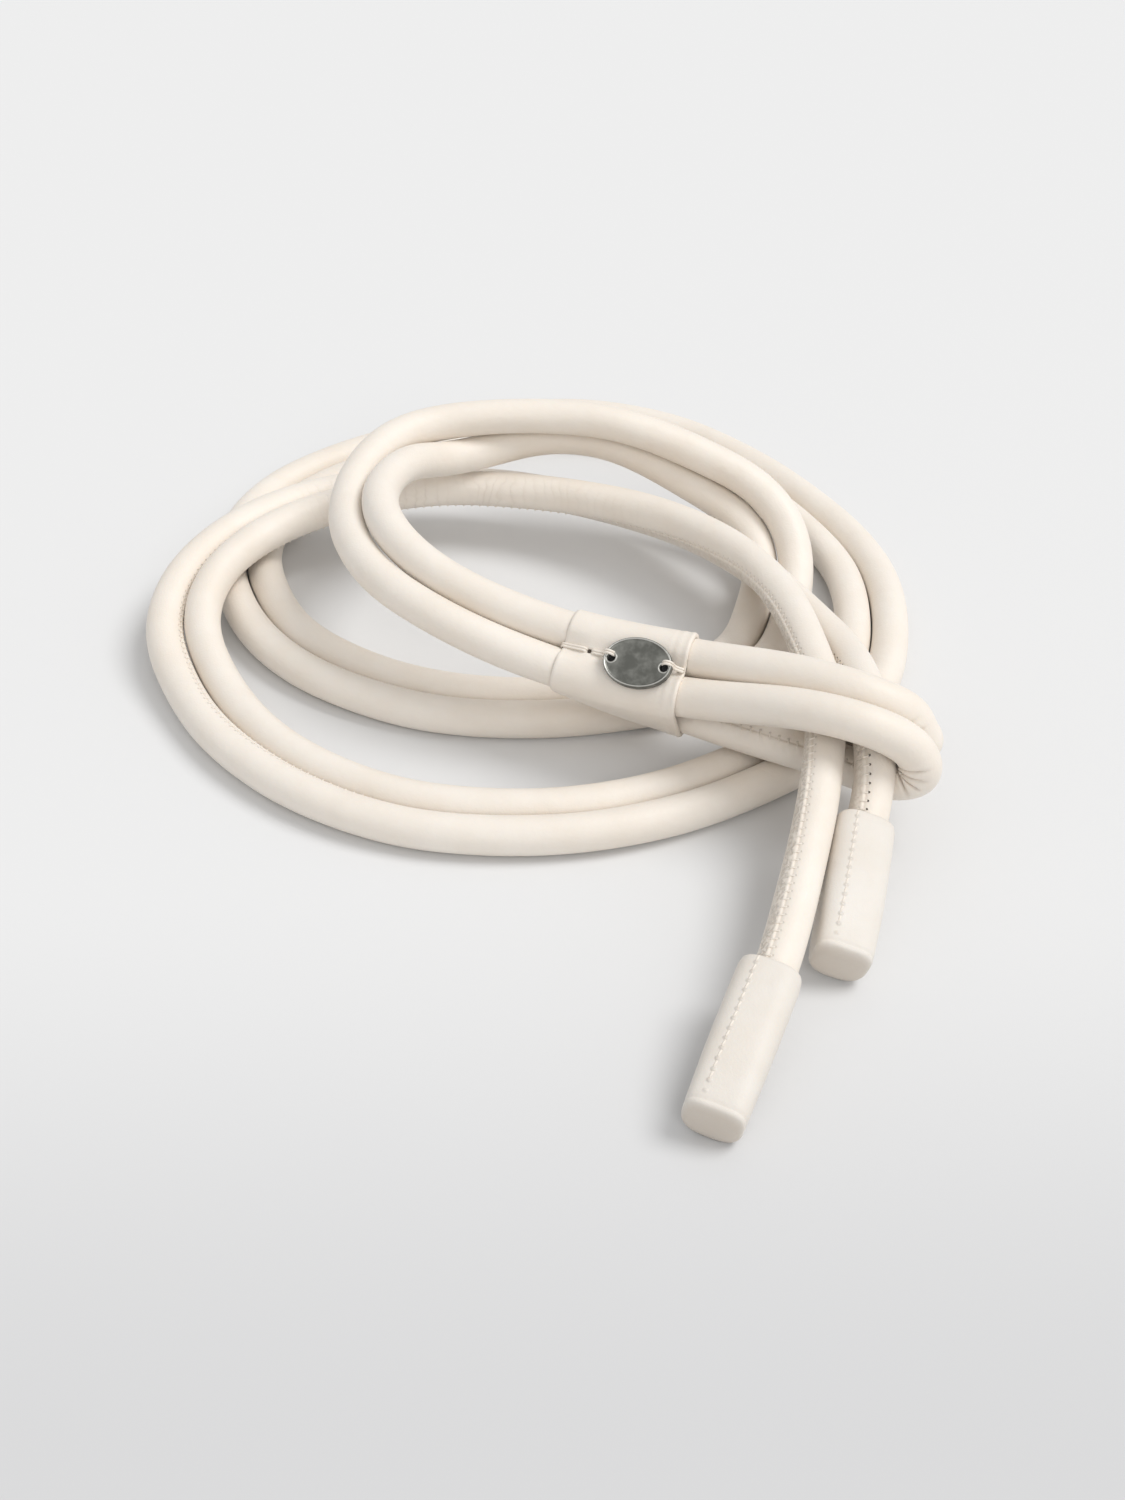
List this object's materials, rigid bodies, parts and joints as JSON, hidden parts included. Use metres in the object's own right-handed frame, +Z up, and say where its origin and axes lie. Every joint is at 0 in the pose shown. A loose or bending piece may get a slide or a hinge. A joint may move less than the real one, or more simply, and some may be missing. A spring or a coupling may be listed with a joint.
{
  "type": "rope belt",
  "caption": "Rope belt of two round leather strands, laid in a coil with the tails drawn through its end loop; leather keeper with an oval metal badge, and leather tips.",
  "frame": {"origin": "on the surface that the belt lies on, under the centre of the belt's bounding box", "axes": "+Z up; +Y from the leather tips towards the back of the coil, away from a person in front of it; +X to that person's right"},
  "size_m": [0.1896, 0.2802, 0.0429],
  "materials": {
    "leather": "smooth off-white leather with a soft sheen",
    "badge_metal": "dark aged pewter with a raised rim"
  },
  "bodies": {
    "root": {"left_strand": "leather", "right_strand": "leather", "keeper": "leather", "left_tip": "leather", "right_tip": "leather", "badge": "badge_metal"}
  },
  "joints": []
}
